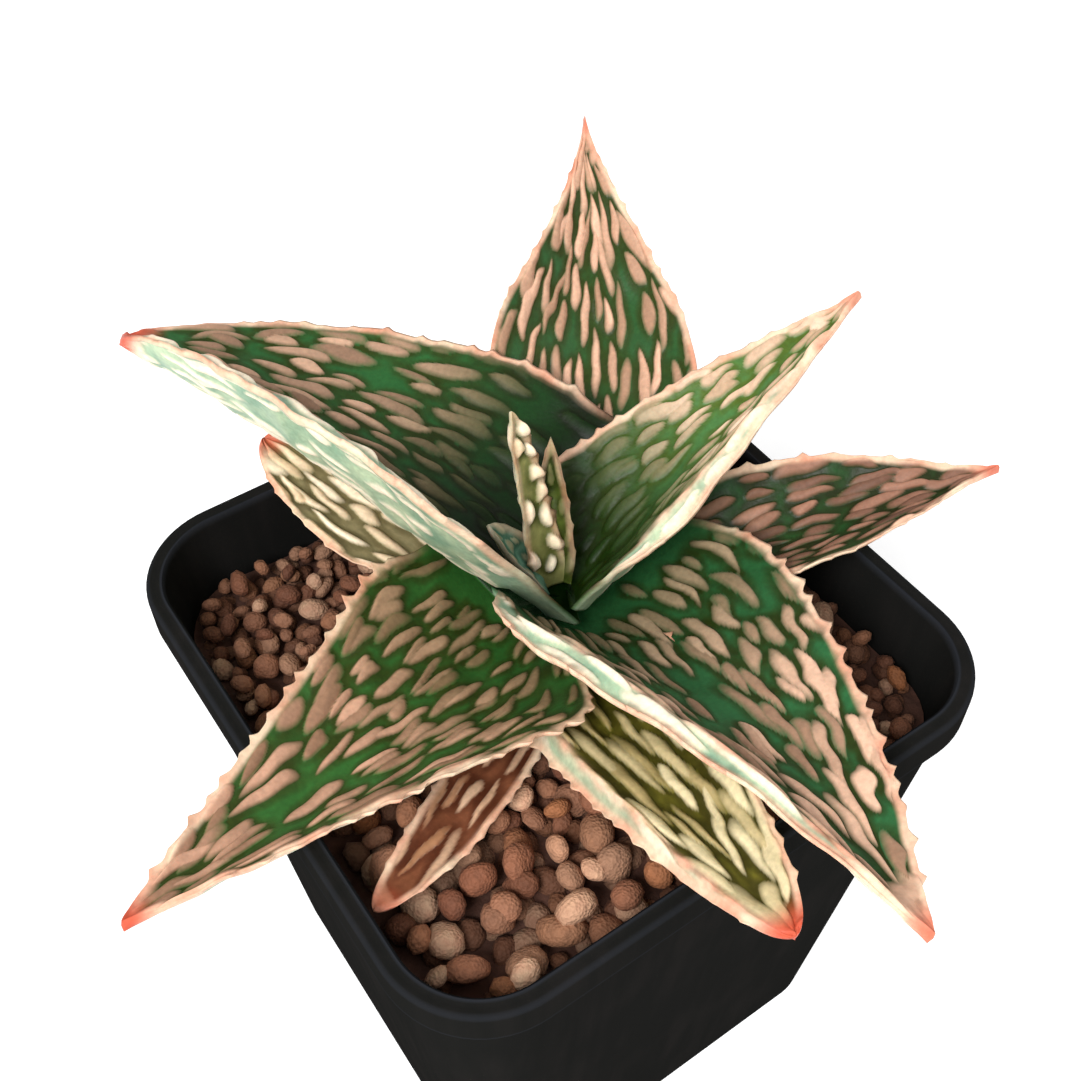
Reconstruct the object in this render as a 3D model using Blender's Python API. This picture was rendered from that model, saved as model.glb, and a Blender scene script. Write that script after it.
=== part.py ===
"""A small aloe in a square plastic pot of baked-clay granules. Metres, +Z up, pot standing on z = 0."""
import math
import random

import bmesh
import bpy
from mathutils import Matrix, Vector
from mathutils.bvhtree import BVHTree

MM = 0.001

# Pot, in millimetres
POT_WIDTH = 80.0
POT_HEIGHT = 86.0
POT_BASE_WIDTH = 64.0
POT_WALL = 1.3
POT_FLOOR = 1.8
BASE_ROUND = 0.8
RIM_HEIGHT = 5.2
RIM_STEP = 1.1
RIM_ROUND = 0.6
TOP_CORNER_RADIUS = 12.5
BASE_CORNER_RADIUS = 8.0
CORNER_STEPS = 7
DRAIN_DIAMETER = 3.6
DRAIN_RING = 13.0
DRAIN_COUNT = 8

# Granules, in millimetres
CLEARANCE = 0.3
HEADSPACE = 11.5
BED_WAVE = 0.4
BED_GRID_STEP = 4.0
GRANULE_COUNT = 28
GRANULE_SIZE_RANGE = (4.0, 6.2)
GRANULE_WALL_GAP = 1.0
GRANULE_TRIES = 20000

# Stem and rosette, in millimetres
STEM_X = 3.0
STEM_Y = 3.5
STEM_RADIUS = 4.5
STEM_DEPTH = 24.0
STEM_TOP_DROP = 0.5
LEAF_EDGE = 0.7
LEAF_STATIONS = 17
LEAF_COLUMNS = 5
CUP_POWER = 1.7
LIP_START = 0.78

# One leaf in each row, from the inside of the rosette outwards, which is the order in which each leaf
# is relieved to lie against the ones over it. Lengths are in millimetres and angles in degrees: azimuth
# and rise at the base, how far each changes along the leaf, the leaf's roll and how steeply its halves
# fold up. A leaf starts its drop below the pot's top. Neck and lip have a value for the left margin and
# one for the right: the share of the width that the leaf has at the stem, and how far the margin turns
# down again outside its ridge.
LEAVES = {
    "leaf_heart_tall": dict(azimuth=84, turn=0, rise=67, curl=0, length=24, width=5, thick=2.2, roll=0,
                            twist=30, fold=15, open=0, drop=1, reach=0.5, belly=2.4, taper=0.6,
                            neck=(0.9, 0.9), swell=0.2, lip=(0, 0)),
    "leaf_heart_small": dict(azimuth=136, turn=0, rise=56, curl=0, length=12, width=6, thick=1.8, roll=0,
                             twist=0, fold=25, open=0, drop=0.5, reach=1, belly=2.4, taper=0.6,
                             neck=(0.8, 0.8), swell=0.2, lip=(0, 0)),
    "leaf_heart_green": dict(azimuth=56, turn=0, rise=66, curl=0, length=19, width=7, thick=2, roll=0,
                             twist=0, fold=30, open=0, drop=1, reach=1.5, belly=1.8, taper=0.8,
                             neck=(0.8, 0.8), swell=0.2, lip=(0, 0)),
    "leaf_left_high": dict(azimuth=118, turn=15, rise=30, curl=-8, length=59, width=55, thick=3.2,
                           roll=18, twist=25, fold=39, open=-16, drop=2.5, reach=3, belly=2, taper=0.6,
                           neck=(0.28, 0.9), swell=0.3, lip=(2.5, 0)),
    "leaf_right_high": dict(azimuth=-1, turn=4, rise=38, curl=-16, length=52, width=29, thick=3, roll=-18,
                            twist=-4, fold=30, open=-2, drop=3, reach=3, belly=1.5, taper=1,
                            neck=(0.7, 0.7), swell=0.22, lip=(0, 3)),
    "leaf_back": dict(azimuth=45, turn=14, rise=18, curl=20, length=70, width=64, thick=3.6, roll=9,
                      twist=1, fold=23, open=3, drop=8.6, reach=6, belly=1.3, taper=1.3, neck=(0.1, 0.3),
                      swell=0.62, lip=(0, 0)),
    "leaf_front_right": dict(azimuth=-85, turn=-9, rise=22, curl=-20, length=61, width=49, thick=3.4,
                             roll=-17, twist=-14, fold=32, open=-4, drop=4.5, reach=3, belly=1.6, taper=1,
                             neck=(0.8, 0.55), swell=0.22, lip=(0, 3.5)),
    "leaf_front_left": dict(azimuth=-160, turn=-8, rise=14, curl=1, length=63, width=48, thick=3.6,
                            roll=-3, twist=15, fold=20, open=9, drop=5.5, reach=4, belly=0.8, taper=0.82,
                            neck=(0.3, 0.74), swell=0.25, lip=(0, 0)),
    "leaf_right_low": dict(azimuth=-23, turn=1, rise=18, curl=-4, length=55, width=47, thick=3.2, roll=3,
                           twist=-8, fold=26, open=5, drop=7.5, reach=5, belly=1.3, taper=1.1,
                           neck=(0.4, 0.08), swell=0.8, lip=(0, 0)),
    "leaf_left_low": dict(azimuth=120, turn=-6, rise=22, curl=-9, length=40, width=26, thick=3.2, roll=2,
                          twist=-4, fold=18, open=-3, drop=6.5, reach=5, belly=2.2, taper=0.6,
                          neck=(0.15, 0.6), swell=0.6, lip=(0, 0)),
    "leaf_front": dict(azimuth=-103, turn=8, rise=19, curl=-6, length=52, width=25, thick=3, roll=6,
                       twist=-8, fold=17, open=2, drop=8, reach=5, belly=1, taper=0.5, neck=(0.6, 0.6),
                       swell=0.22, lip=(0, 3)),
    "leaf_dried": dict(azimuth=-139, turn=-23, rise=4, curl=6, length=41, width=10, thick=1.6, roll=0,
                       twist=-2, fold=10, open=-2, drop=8.5, reach=6, belly=2.4, taper=0.5,
                       neck=(0.8, 0.8), swell=0.22, lip=(0, 0)),
}

# Finishes: sRGB hex, roughness
FINISHES = {
    "black_plastic": ("#1b1b1c", 0.45),
    "baked_clay": ("#8a5a44", 0.9),
    "stem_green": ("#7f8a58", 0.6),
    "leaf_green": ("#3f6b42", 0.45),
    "heart_leaf": ("#8f9a6a", 0.5),
    "dried_leaf": ("#8c5a3c", 0.7),
}


def linear(channel):
    return channel / 12.92 if channel <= 0.04045 else ((channel + 0.055) / 1.055) ** 2.4


def material(name):
    hex_code, roughness = FINISHES[name]
    made = bpy.data.materials.get(name) or bpy.data.materials.new(name)
    made.use_nodes = True
    shader = made.node_tree.nodes["Principled BSDF"]
    rgb = [linear(int(hex_code[i:i + 2], 16) / 255) for i in (1, 3, 5)]
    shader.inputs["Base Color"].default_value = (*rgb, 1.0)
    shader.inputs["Roughness"].default_value = roughness
    shader.inputs["Metallic"].default_value = 0.0
    return made


def add_object(name, mesh_data, finish, smooth=True):
    """Turn a bmesh given in millimetres into an object in metres."""
    bmesh.ops.recalc_face_normals(mesh_data, faces=mesh_data.faces)
    bmesh.ops.scale(mesh_data, vec=(MM, MM, MM), verts=mesh_data.verts)
    mesh = bpy.data.meshes.new(name)
    mesh_data.to_mesh(mesh)
    mesh_data.free()
    for face in mesh.polygons:
        face.use_smooth = smooth
    made = bpy.data.objects.new(name, mesh)
    made.data.materials.append(material(finish))
    bpy.context.scene.collection.objects.link(made)
    return made


def cut(target, cutter):
    """Take the cutter's volume from the target for good, and remove the cutter."""
    modifier = target.modifiers.new("cut", "BOOLEAN")
    modifier.operation = "DIFFERENCE"
    modifier.solver = "EXACT"
    modifier.object = cutter
    graph = bpy.context.evaluated_depsgraph_get()
    result = bpy.data.meshes.new_from_object(target.evaluated_get(graph))
    target.modifiers.clear()
    old = target.data
    target.data = result
    result.name = target.name
    bpy.data.meshes.remove(old)
    bpy.data.objects.remove(cutter)


def keep_largest_piece(target):
    """Drop the offcuts that a cut leaves, keeping the piece with the most volume."""
    work = bmesh.new()
    work.from_mesh(target.data)
    bmesh.ops.remove_doubles(work, verts=work.verts, dist=0.00001)
    unseen = set(work.verts)
    pieces = []
    while unseen:
        front = [unseen.pop()]
        piece = set(front)
        while front:
            for edge in front.pop().link_edges:
                for vert in edge.verts:
                    if vert in unseen:
                        unseen.discard(vert)
                        piece.add(vert)
                        front.append(vert)
        pieces.append(piece)
    pieces.sort(key=lambda piece: box_volume(piece), reverse=True)
    spare = [vert for piece in pieces[1:] for vert in piece]
    bmesh.ops.delete(work, geom=spare, context="VERTS")
    work.to_mesh(target.data)
    work.free()


def box_volume(verts):
    size = 1.0
    for axis in range(3):
        values = [vert.co[axis] for vert in verts]
        size *= max(values) - min(values)
    return size


def rounded_square(half, radius, height):
    """Points of a square with rounded corners, anticlockwise from +X."""
    points = []
    for corner in range(4):
        start = math.radians(90 * corner)
        diagonal = start + math.radians(45)
        reach = (half - radius) * math.sqrt(2)
        centre = Vector((reach * math.cos(diagonal), reach * math.sin(diagonal), height))
        for step in range(CORNER_STEPS + 1):
            angle = start + math.radians(90 * step / CORNER_STEPS)
            points.append(centre + Vector((radius * math.cos(angle), radius * math.sin(angle), 0)))
    return points


def loft(mesh_data, sections):
    """Skin closed sections one after another and cap the first and the last."""
    rings = [[mesh_data.verts.new(point) for point in section] for section in sections]
    count = len(rings[0])
    for lower, upper in zip(rings, rings[1:]):
        for i in range(count):
            j = (i + 1) % count
            mesh_data.faces.new((lower[i], lower[j], upper[j], upper[i]))
    mesh_data.faces.new(list(reversed(rings[0])))
    mesh_data.faces.new(rings[-1])


def wall_at(height):
    """Outer half width and corner radius of the pot's wall at a height."""
    share = height / POT_HEIGHT
    half = (POT_BASE_WIDTH + (POT_WIDTH - 2 * RIM_STEP - POT_BASE_WIDTH) * share) / 2
    radius = BASE_CORNER_RADIUS + (TOP_CORNER_RADIUS - RIM_STEP - BASE_CORNER_RADIUS) * share
    return half, radius


def wall_section(height, inset):
    half, radius = wall_at(height)
    return rounded_square(half - inset, radius - inset, height)


def cylinder(name, centre, radius, low, high, sides, finish):
    work = bmesh.new()
    place = Matrix.Translation((centre[0], centre[1], (low + high) / 2))
    bmesh.ops.create_cone(work, cap_ends=True, segments=sides, radius1=radius, radius2=radius,
                          depth=high - low, matrix=place)
    return add_object(name, work, finish)


def make_pot():
    half, radius = POT_WIDTH / 2, TOP_CORNER_RADIUS
    rim_low = POT_HEIGHT - RIM_HEIGHT
    sections = [
        wall_section(0, BASE_ROUND),
        wall_section(0.3 * BASE_ROUND, 0.3 * BASE_ROUND),
        wall_section(BASE_ROUND, 0),
        wall_section(rim_low - 0.4, 0),
        rounded_square(half - 0.3, radius - 0.3, rim_low),
        rounded_square(half, radius, rim_low + 0.4),
        rounded_square(half, radius, POT_HEIGHT - RIM_ROUND),
        rounded_square(half - 0.3 * RIM_ROUND, radius - 0.3 * RIM_ROUND, POT_HEIGHT - 0.3 * RIM_ROUND),
        rounded_square(half - RIM_ROUND, radius - RIM_ROUND, POT_HEIGHT),
        wall_section(POT_HEIGHT, POT_WALL - 0.5 * RIM_ROUND),
        wall_section(POT_HEIGHT - RIM_ROUND, POT_WALL),
        wall_section(POT_FLOOR, POT_WALL),
    ]
    work = bmesh.new()
    loft(work, sections)
    pot = add_object("pot", work, "black_plastic", smooth=False)
    for index in range(DRAIN_COUNT):
        angle = 2 * math.pi * (index + 0.5) / DRAIN_COUNT
        centre = (DRAIN_RING * math.cos(angle), DRAIN_RING * math.sin(angle))
        cut(pot, cylinder("drain", centre, DRAIN_DIAMETER / 2, -1, POT_FLOOR + 1, 12, "black_plastic"))
    pot.data.materials.clear()
    pot.data.materials.append(material("black_plastic"))
    return pot


def bed_top(x, y):
    """Height of the granule bed's surface."""
    return POT_HEIGHT - HEADSPACE + BED_WAVE * math.sin(0.31 * x + 1.0) * math.cos(0.27 * y)


def make_bed():
    """The bed fills the pot; its top is a waved sheet inside the pot's wall."""
    inset = POT_WALL + CLEARANCE
    floor = POT_FLOOR + CLEARANCE
    level = POT_HEIGHT - HEADSPACE
    work = bmesh.new()
    low = [work.verts.new(point) for point in wall_section(floor, inset)]
    high = [work.verts.new(point) for point in wall_section(level, inset)]
    count = len(low)
    for i in range(count):
        j = (i + 1) % count
        work.faces.new((low[i], low[j], high[j], high[i]))
    work.faces.new(list(reversed(low)))
    lid = work.faces.new(high)
    half = wall_at(level)[0] - inset
    steps = max(4, round(2 * half / BED_GRID_STEP))
    geometry = [lid] + list(lid.edges) + list(lid.verts)
    for axis in range(2):
        for step in range(1, steps):
            plane = [0.0, 0.0, 0.0]
            normal = [0.0, 0.0, 0.0]
            plane[axis] = -half + 2 * half * step / steps
            normal[axis] = 1.0
            result = bmesh.ops.bisect_plane(work, geom=geometry, plane_co=plane, plane_no=normal,
                                            dist=0.0001)
            geometry = result["geom"]
    for vert in work.verts:
        if vert.co.z > level - 0.001:
            vert.co.z = bed_top(vert.co.x, vert.co.y)
    bmesh.ops.triangulate(work, faces=[face for face in work.faces if len(face.verts) > 4])
    bed = add_object("granule_bed", work, "baked_clay")
    stem_low = POT_HEIGHT - HEADSPACE - STEM_DEPTH - CLEARANCE
    socket = cylinder("socket", (STEM_X, STEM_Y), STEM_RADIUS + CLEARANCE, stem_low, POT_HEIGHT, 24,
                      "baked_clay")
    cut(bed, socket)
    return bed


def make_stem():
    low = POT_HEIGHT - HEADSPACE - STEM_DEPTH
    return cylinder("stem", (STEM_X, STEM_Y), STEM_RADIUS, low, POT_HEIGHT - STEM_TOP_DROP, 24, "stem_green")


def leaf_sections(spec, grow):
    """Closed sections of a leaf from base to tip, and the tip itself, grown outwards by grow."""
    azimuth = math.radians(spec["azimuth"])
    place = Vector((STEM_X + spec["reach"] * math.cos(azimuth), STEM_Y + spec["reach"] * math.sin(azimuth),
                    POT_HEIGHT - spec["drop"]))
    sections = []
    last = 0.0
    stations = [1 - (1 - i / LEAF_STATIONS) ** 1.25 for i in range(LEAF_STATIONS)]
    for along in stations + [1.0]:
        middle = (along + last) / 2
        place = place + heading(spec, middle) * spec["length"] * (along - last)
        last = along
        if along < 1.0:
            sections.append(leaf_section(spec, place, along, grow))
    if grow:
        first = heading(spec, 0) * grow
        sections[0] = [point - first for point in sections[0]]
    return sections, place + heading(spec, 1.0) * grow * 2


def heading(spec, along):
    azimuth = math.radians(spec["azimuth"] + spec["turn"] * along)
    rise = math.radians(spec["rise"] + spec["curl"] * along)
    return Vector((math.cos(rise) * math.cos(azimuth), math.cos(rise) * math.sin(azimuth), math.sin(rise)))


def ease(low, high, value):
    """A smooth step from 0 at low to 1 at high."""
    share = min(1.0, max(0.0, (value - low) / (high - low)))
    return share * share * (3 - 2 * share)


def half_width(spec, along, across):
    """Half the leaf's width on one side: a neck that swells to the full width, then tapers to the tip."""
    neck = spec["neck"][0 if across < 0 else 1]
    neck = neck + (1 - neck) * ease(0, spec["swell"], along)
    return spec["width"] / 2 * neck * (1 - along ** spec["belly"]) ** spec["taper"]


def lip_drop(spec, along, across):
    """How far the blade has turned down again outside its ridge."""
    deep = spec["lip"][0 if across < 0 else 1]
    room = min(1.0, 2.6 * half_width(spec, along, across) / spec["width"])
    return deep * ease(LIP_START, 1, abs(across)) * ease(0.05, 0.3, along) * room


def leaf_section(spec, place, along, grow):
    """One closed section: a cupped top, a rounded keel below, and a thin edge at each margin."""
    forward = heading(spec, along)
    azimuth = math.radians(spec["azimuth"] + spec["turn"] * along)
    right = Vector((math.sin(azimuth), -math.cos(azimuth), 0))
    up = right.cross(forward)
    roll = math.radians(spec["roll"] + spec["twist"] * along)
    side = right * math.cos(roll) - up * math.sin(roll)
    lift = up * math.cos(roll) + right * math.sin(roll)
    fold = math.radians(spec["fold"] + spec["open"] * along)
    edge = min(LEAF_EDGE, 0.5 * spec["thick"]) * (1 - 0.5 * along) / 2 + grow
    top, bottom = [], []
    for column in range(-LEAF_COLUMNS, LEAF_COLUMNS + 1):
        across = math.sin(math.pi / 2 * column / LEAF_COLUMNS)
        half = half_width(spec, along, across) + grow
        keel = (spec["thick"] - LEAF_EDGE) * (1 - 0.7 * along) * min(1.0, 3 * half / spec["width"] + 0.3)
        cup = half * abs(across) ** CUP_POWER * math.sin(fold) - lip_drop(spec, along, across)
        middle = place + side * (half * across * math.cos(fold)) + lift * cup
        depth = edge + keel * (1 - across * across)
        top.append(middle + lift * edge)
        bottom.append(middle - lift * depth)
    return top + list(reversed(bottom))


def make_leaf(name, grow=0.0, label=None):
    sections, tip = leaf_sections(LEAVES[name], grow)
    work = bmesh.new()
    rings = [[work.verts.new(point) for point in section] for section in sections]
    count = len(rings[0])
    for lower, upper in zip(rings, rings[1:]):
        for i in range(count):
            j = (i + 1) % count
            work.faces.new((lower[i], lower[j], upper[j], upper[i]))
    point = work.verts.new(tip)
    for i in range(count):
        work.faces.new((rings[-1][i], rings[-1][(i + 1) % count], point))
    half = count // 2
    for i in range(half - 1):
        work.faces.new((rings[0][i], rings[0][i + 1], rings[0][count - 2 - i], rings[0][count - 1 - i]))
    bmesh.ops.triangulate(work, faces=work.faces)
    finish = "dried_leaf" if "dried" in name else "heart_leaf" if "heart" in name else "leaf_green"
    return add_object(label or name, work, finish)


def bed_relief():
    """The space the bed takes up, a clearance over its highest wave."""
    work = bmesh.new()
    high = POT_HEIGHT - HEADSPACE + BED_WAVE + CLEARANCE
    size = (2 * POT_WIDTH, 2 * POT_WIDTH, high)
    place = Matrix.Translation((0, 0, high / 2)) @ Matrix.Diagonal((*size, 1))
    bmesh.ops.create_cube(work, size=1, matrix=place)
    return add_object("relief", work, "baked_clay")


def make_leaves():
    """Make each leaf and relieve it where an inner leaf, the stem or the bed presses on it."""
    made = []
    for name in LEAVES:
        leaf = make_leaf(name)
        finish = leaf.data.materials[0]
        for inner in made:
            if boxes_meet(leaf, inner):
                cut(leaf, make_leaf(inner.name, CLEARANCE, "relief"))
        low = POT_HEIGHT - HEADSPACE - STEM_DEPTH
        high = POT_HEIGHT - STEM_TOP_DROP + CLEARANCE
        cut(leaf, cylinder("relief", (STEM_X, STEM_Y), STEM_RADIUS + CLEARANCE, low, high, 24, "stem_green"))
        cut(leaf, bed_relief())
        keep_largest_piece(leaf)
        leaf.data.materials.clear()
        leaf.data.materials.append(finish)
        made.append(leaf)
    return made


def boxes_meet(first, second):
    def limits(item):
        points = [vert.co for vert in item.data.vertices]
        return [(min(p[k] for p in points), max(p[k] for p in points)) for k in range(3)]
    return all(a[0] < b[1] + MM and b[0] < a[1] + MM for a, b in zip(limits(first), limits(second)))


def make_granules(leaves):
    """Scatter the largest granules on the bed, each clear of the wall, the leaves and the others."""
    dice = random.Random(11)
    trees = []
    for leaf in leaves:
        work = bmesh.new()
        work.from_mesh(leaf.data)
        bmesh.ops.scale(work, vec=(1 / MM, 1 / MM, 1 / MM), verts=work.verts)
        trees.append(BVHTree.FromBMesh(work))
        work.free()
    inner, corner = wall_at(POT_HEIGHT - HEADSPACE)
    reach = inner - POT_WALL - GRANULE_WALL_GAP
    placed = []
    for _ in range(GRANULE_TRIES):
        if len(placed) == GRANULE_COUNT:
            break
        size = dice.uniform(*GRANULE_SIZE_RANGE)
        radius = size / 2
        x, y = dice.uniform(-reach, reach), dice.uniform(-reach, reach)
        shape = [1.0, dice.uniform(0.75, 0.95), dice.uniform(0.65, 0.85)]
        turn = dice.uniform(0, math.pi)
        over = math.hypot(max(0, abs(x) - (reach - corner)), max(0, abs(y) - (reach - corner)))
        if over > corner - radius or math.hypot(x - STEM_X, y - STEM_Y) < 3 * STEM_RADIUS:
            continue
        centre = Vector((x, y, bed_top(x, y) + radius))
        if any(math.hypot(x - px, y - py) < radius + pr + CLEARANCE for px, py, pr in placed):
            continue
        if any(tree.find_nearest(centre)[3] < radius + 2 * CLEARANCE for tree in trees):
            continue
        placed.append((x, y, radius))
        make_granule(f"granule_{len(placed):02d}", centre, radius, shape, turn, dice)


def make_granule(name, centre, radius, shape, turn, dice):
    """A worn lump, lowered until it lies a clearance above the bed."""
    work = bmesh.new()
    bmesh.ops.create_icosphere(work, subdivisions=1, radius=radius)
    for vert in work.verts:
        vert.co *= dice.uniform(0.88, 1.0)
        vert.co = Vector((vert.co.x * shape[0], vert.co.y * shape[1], vert.co.z * shape[2]))
    bmesh.ops.rotate(work, verts=work.verts, cent=(0, 0, 0), matrix=Matrix.Rotation(turn, 3, "Z"))
    bmesh.ops.translate(work, verts=work.verts, vec=centre)
    drop = min(vert.co.z - bed_top(vert.co.x, vert.co.y) for vert in work.verts)
    bmesh.ops.translate(work, verts=work.verts, vec=(0, 0, CLEARANCE + 0.1 - drop))
    add_object(name, work, "baked_clay")


for item in list(bpy.data.objects):
    bpy.data.objects.remove(item)
make_pot()
make_bed()
make_stem()
make_granules(make_leaves())
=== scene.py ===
import math

import bmesh
import bpy
import mathutils
import numpy as np
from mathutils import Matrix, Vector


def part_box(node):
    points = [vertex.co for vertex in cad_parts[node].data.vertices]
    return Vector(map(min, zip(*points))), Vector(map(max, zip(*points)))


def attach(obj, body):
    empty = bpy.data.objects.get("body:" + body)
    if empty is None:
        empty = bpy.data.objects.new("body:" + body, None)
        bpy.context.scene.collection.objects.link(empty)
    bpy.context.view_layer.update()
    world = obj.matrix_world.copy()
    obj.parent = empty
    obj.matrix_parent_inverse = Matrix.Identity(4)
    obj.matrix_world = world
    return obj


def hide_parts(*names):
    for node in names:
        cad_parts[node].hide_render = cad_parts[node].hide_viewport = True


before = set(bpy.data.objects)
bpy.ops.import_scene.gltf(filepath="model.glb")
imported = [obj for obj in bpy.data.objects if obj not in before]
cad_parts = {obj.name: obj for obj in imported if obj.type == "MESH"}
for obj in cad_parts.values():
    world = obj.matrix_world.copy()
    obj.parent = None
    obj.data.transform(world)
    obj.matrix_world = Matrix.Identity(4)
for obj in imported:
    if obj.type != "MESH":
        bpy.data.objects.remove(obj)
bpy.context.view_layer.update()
mm = 0.001


def linearColour(code):
    # sRGB hex to linear red, green, blue and full alpha
    values = np.array([int(code[i:i + 2], 16) / 255 for i in (1, 3, 5)])
    values = np.where(values <= 0.04045, values / 12.92, ((values + 0.055) / 1.055) ** 2.4)
    return (*[float(v) for v in values], 1.0)


def inputOf(node, key):
    # a key such as _6 is an input's number; any other is its name, with _ in place of each space
    if key.startswith("_"):
        return node.inputs[int(key[1:])]
    return node.inputs[key.replace("_", " ")]


def addNode(tree, kind, settings=None, **sockets):
    # adds a node, sets its settings, then gives each named or numbered input a value or a link
    node = tree.nodes.new(kind)
    for key, value in (settings or {}).items():
        setattr(node, key, value)
    for key, value in sockets.items():
        socket = inputOf(node, key)
        if isinstance(value, bpy.types.NodeSocket):
            tree.links.new(value, socket)
        elif isinstance(value, str):
            socket.default_value = linearColour(value)
        else:
            socket.default_value = value
    return node


def objectPlace(tree):
    return addNode(tree, "ShaderNodeTexCoord").outputs["Object"]


def noise(tree, place, scale, detail):
    return addNode(tree, "ShaderNodeTexNoise", Vector=place, Scale=scale, Detail=detail).outputs["Fac"]


def cells(tree, place, scale):
    return addNode(tree, "ShaderNodeTexVoronoi", Vector=place, Scale=scale).outputs["Distance"]


def mapRange(tree, value, **ends):
    return addNode(tree, "ShaderNodeMapRange", Value=value, **ends).outputs[0]


def combine(tree, operation, first, second, clamp=False):
    return addNode(tree, "ShaderNodeMath", {"operation": operation, "use_clamp": clamp},
                   _0=first, _1=second).outputs[0]


def mixColour(tree, factor, first, second, kind="MIX"):
    return addNode(tree, "ShaderNodeMix", {"data_type": "RGBA", "blend_type": kind},
                   _0=factor, _6=first, _7=second).outputs[2]


def maskParts(tree, name):
    # the three numbers that one of the mesh's masks holds for each point
    mask = addNode(tree, "ShaderNodeAttribute", {"attribute_name": name}).outputs["Color"]
    return addNode(tree, "ShaderNodeSeparateColor", Color=mask).outputs[:3]


def addRelief(tree, shader, height, strength, distance):
    # fine relief on top of the modelled shape; its distance is in metres
    relief = addNode(tree, "ShaderNodeBump", Strength=strength, Distance=distance, Height=height).outputs[0]
    tree.links.new(relief, shader.inputs["Normal"])


def newMaterial(name):
    material = bpy.data.materials.new(name)
    material.use_nodes = True
    tree = material.node_tree
    return material, tree, tree.nodes["Principled BSDF"]


def smoothStep(low, high, x):
    t = np.clip((x - low) / (high - low), 0, 1)
    return t * t * (3 - 2 * t)


def makePiece(name, points, faces, material, masks=None, smooth=True):
    # points in millimetres; masks are colour attributes with four numbers for each point
    mesh = bpy.data.meshes.new(name)
    mesh.from_pydata((points * mm).tolist(), [], faces)
    for key, values in (masks or {}).items():
        layer = mesh.color_attributes.new(key, "FLOAT_COLOR", "POINT")
        layer.data.foreach_set("color", np.ascontiguousarray(values, np.float32).ravel())
    mesh.polygons.foreach_set("use_smooth", np.full(len(mesh.polygons), smooth))
    mesh.materials.append(material)
    mesh.update()
    piece = bpy.data.objects.new(name, mesh)
    bpy.context.scene.collection.objects.link(piece)
    return piece


def ringFaces(rings, around):
    # quads between rings of points stored one ring after another
    i, j = np.meshgrid(np.arange(rings - 1), np.arange(around), indexing="ij")
    k = (j + 1) % around
    quads = np.stack([i * around + j, i * around + k, (i + 1) * around + k, (i + 1) * around + j], -1)
    return quads.reshape(-1, 4).tolist()


pot = dict(width=80.0, height=86.0, baseWidth=64.0, wall=1.3, floor=1.8, rimHeight=5.2, rimStep=1.1,
           topRadius=12.5, baseRadius=8.0, baseRound=0.8, rimRound=0.7, groove=0.12,
           drainDiameter=3.6, drainRing=13.0, drains=8, drainSides=24)


def blackPlastic():
    # polypropylene, injection moulded: near black and matt, with faint drawing lines down the wall
    material, tree, shader = newMaterial("blackPolypropylene")
    place = objectPlace(tree)
    stretched = addNode(tree, "ShaderNodeMapping", Vector=place, Scale=(1.0, 1.0, 0.06)).outputs[0]
    streaks = noise(tree, stretched, 420.0, 3.0)
    cloud = noise(tree, place, 60.0, 4.0)
    grain = noise(tree, place, 2600.0, 2.0)
    dust = mapRange(tree, combine(tree, "MULTIPLY", streaks, cloud), From_Min=0.2, From_Max=0.4)
    # painted highlight: the mask read here lightens the rim's edges to a bluish grey, standing in for sheen
    sheen = maskParts(tree, "wear")[0]
    colour = mixColour(tree, sheen, mixColour(tree, dust, "#191918", "#1d1c1b"), "#2c2f36")
    tree.links.new(colour, shader.inputs["Base Color"])
    rough = mapRange(tree, streaks, To_Min=0.5, To_Max=0.68)
    tree.links.new(rough, shader.inputs["Roughness"])
    addRelief(tree, shader, grain, 0.08, 0.0003)
    shader.inputs["IOR"].default_value = 1.49
    shader.inputs["Specular IOR Level"].default_value = 0.0
    return material


def potWall(height):
    # half the width and the corner radius of the tapered wall's outer face at a height
    share = height / pot["height"]
    half = (pot["baseWidth"] + (pot["width"] - 2 * pot["rimStep"] - pot["baseWidth"]) * share) / 2
    radius = pot["baseRadius"] + (pot["topRadius"] - pot["rimStep"] - pot["baseRadius"]) * share
    return half, radius


def squareRing(half, radius, height, corner=18, side=10):
    # a square with rounded corners: quarter circles joined by straight sides, anticlockwise
    spread = (half - radius) * math.sqrt(2)
    arcs = []
    for start in np.arange(4) * math.pi / 2:
        middle = start + math.pi / 4
        angle = start + np.linspace(0, math.pi / 2, corner)
        arcs.append(spread * np.array([math.cos(middle), math.sin(middle)])
                    + radius * np.stack([np.cos(angle), np.sin(angle)], 1))
    share = np.linspace(0, 1, side + 2)[1:-1, None]
    points = []
    for arc, following in zip(arcs, arcs[1:] + arcs[:1]):
        points += [arc, arc[-1] + (following[0] - arc[-1]) * share]
    flat = np.concatenate(points)
    return np.column_stack([flat, np.full(len(flat), height)])


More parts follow.
